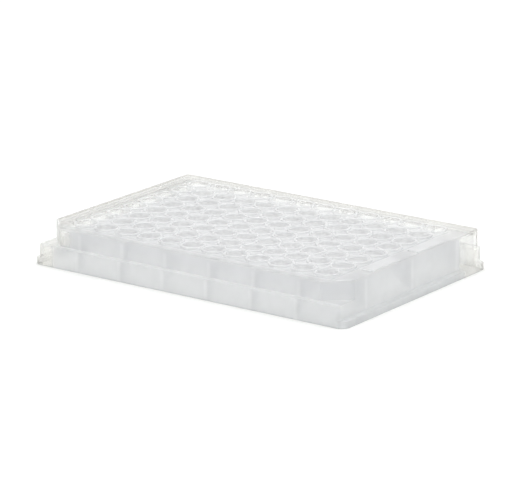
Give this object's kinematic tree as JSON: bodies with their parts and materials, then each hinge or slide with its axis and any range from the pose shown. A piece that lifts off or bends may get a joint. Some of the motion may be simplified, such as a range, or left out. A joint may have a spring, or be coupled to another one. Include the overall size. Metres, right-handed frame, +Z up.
{
  "type": "well plate",
  "caption": "Translucent one-piece well plate: a grid of small wells in a shallow tray whose skirt stacks over the next plate.",
  "frame": {"origin": "centre of the base, on the surface that the plate stands on", "axes": "+X along the long side towards column 12 and the label pads, +Y along the short side towards row A and away from the two chamfered corners, +Z up out of the wells"},
  "size_m": [0.1278, 0.0854, 0.0143],
  "materials": {
    "natural_polypropylene": "natural translucent polypropylene, injection moulded, satin"
  },
  "bodies": {
    "root": {"well_plate": "natural_polypropylene"}
  },
  "joints": []
}
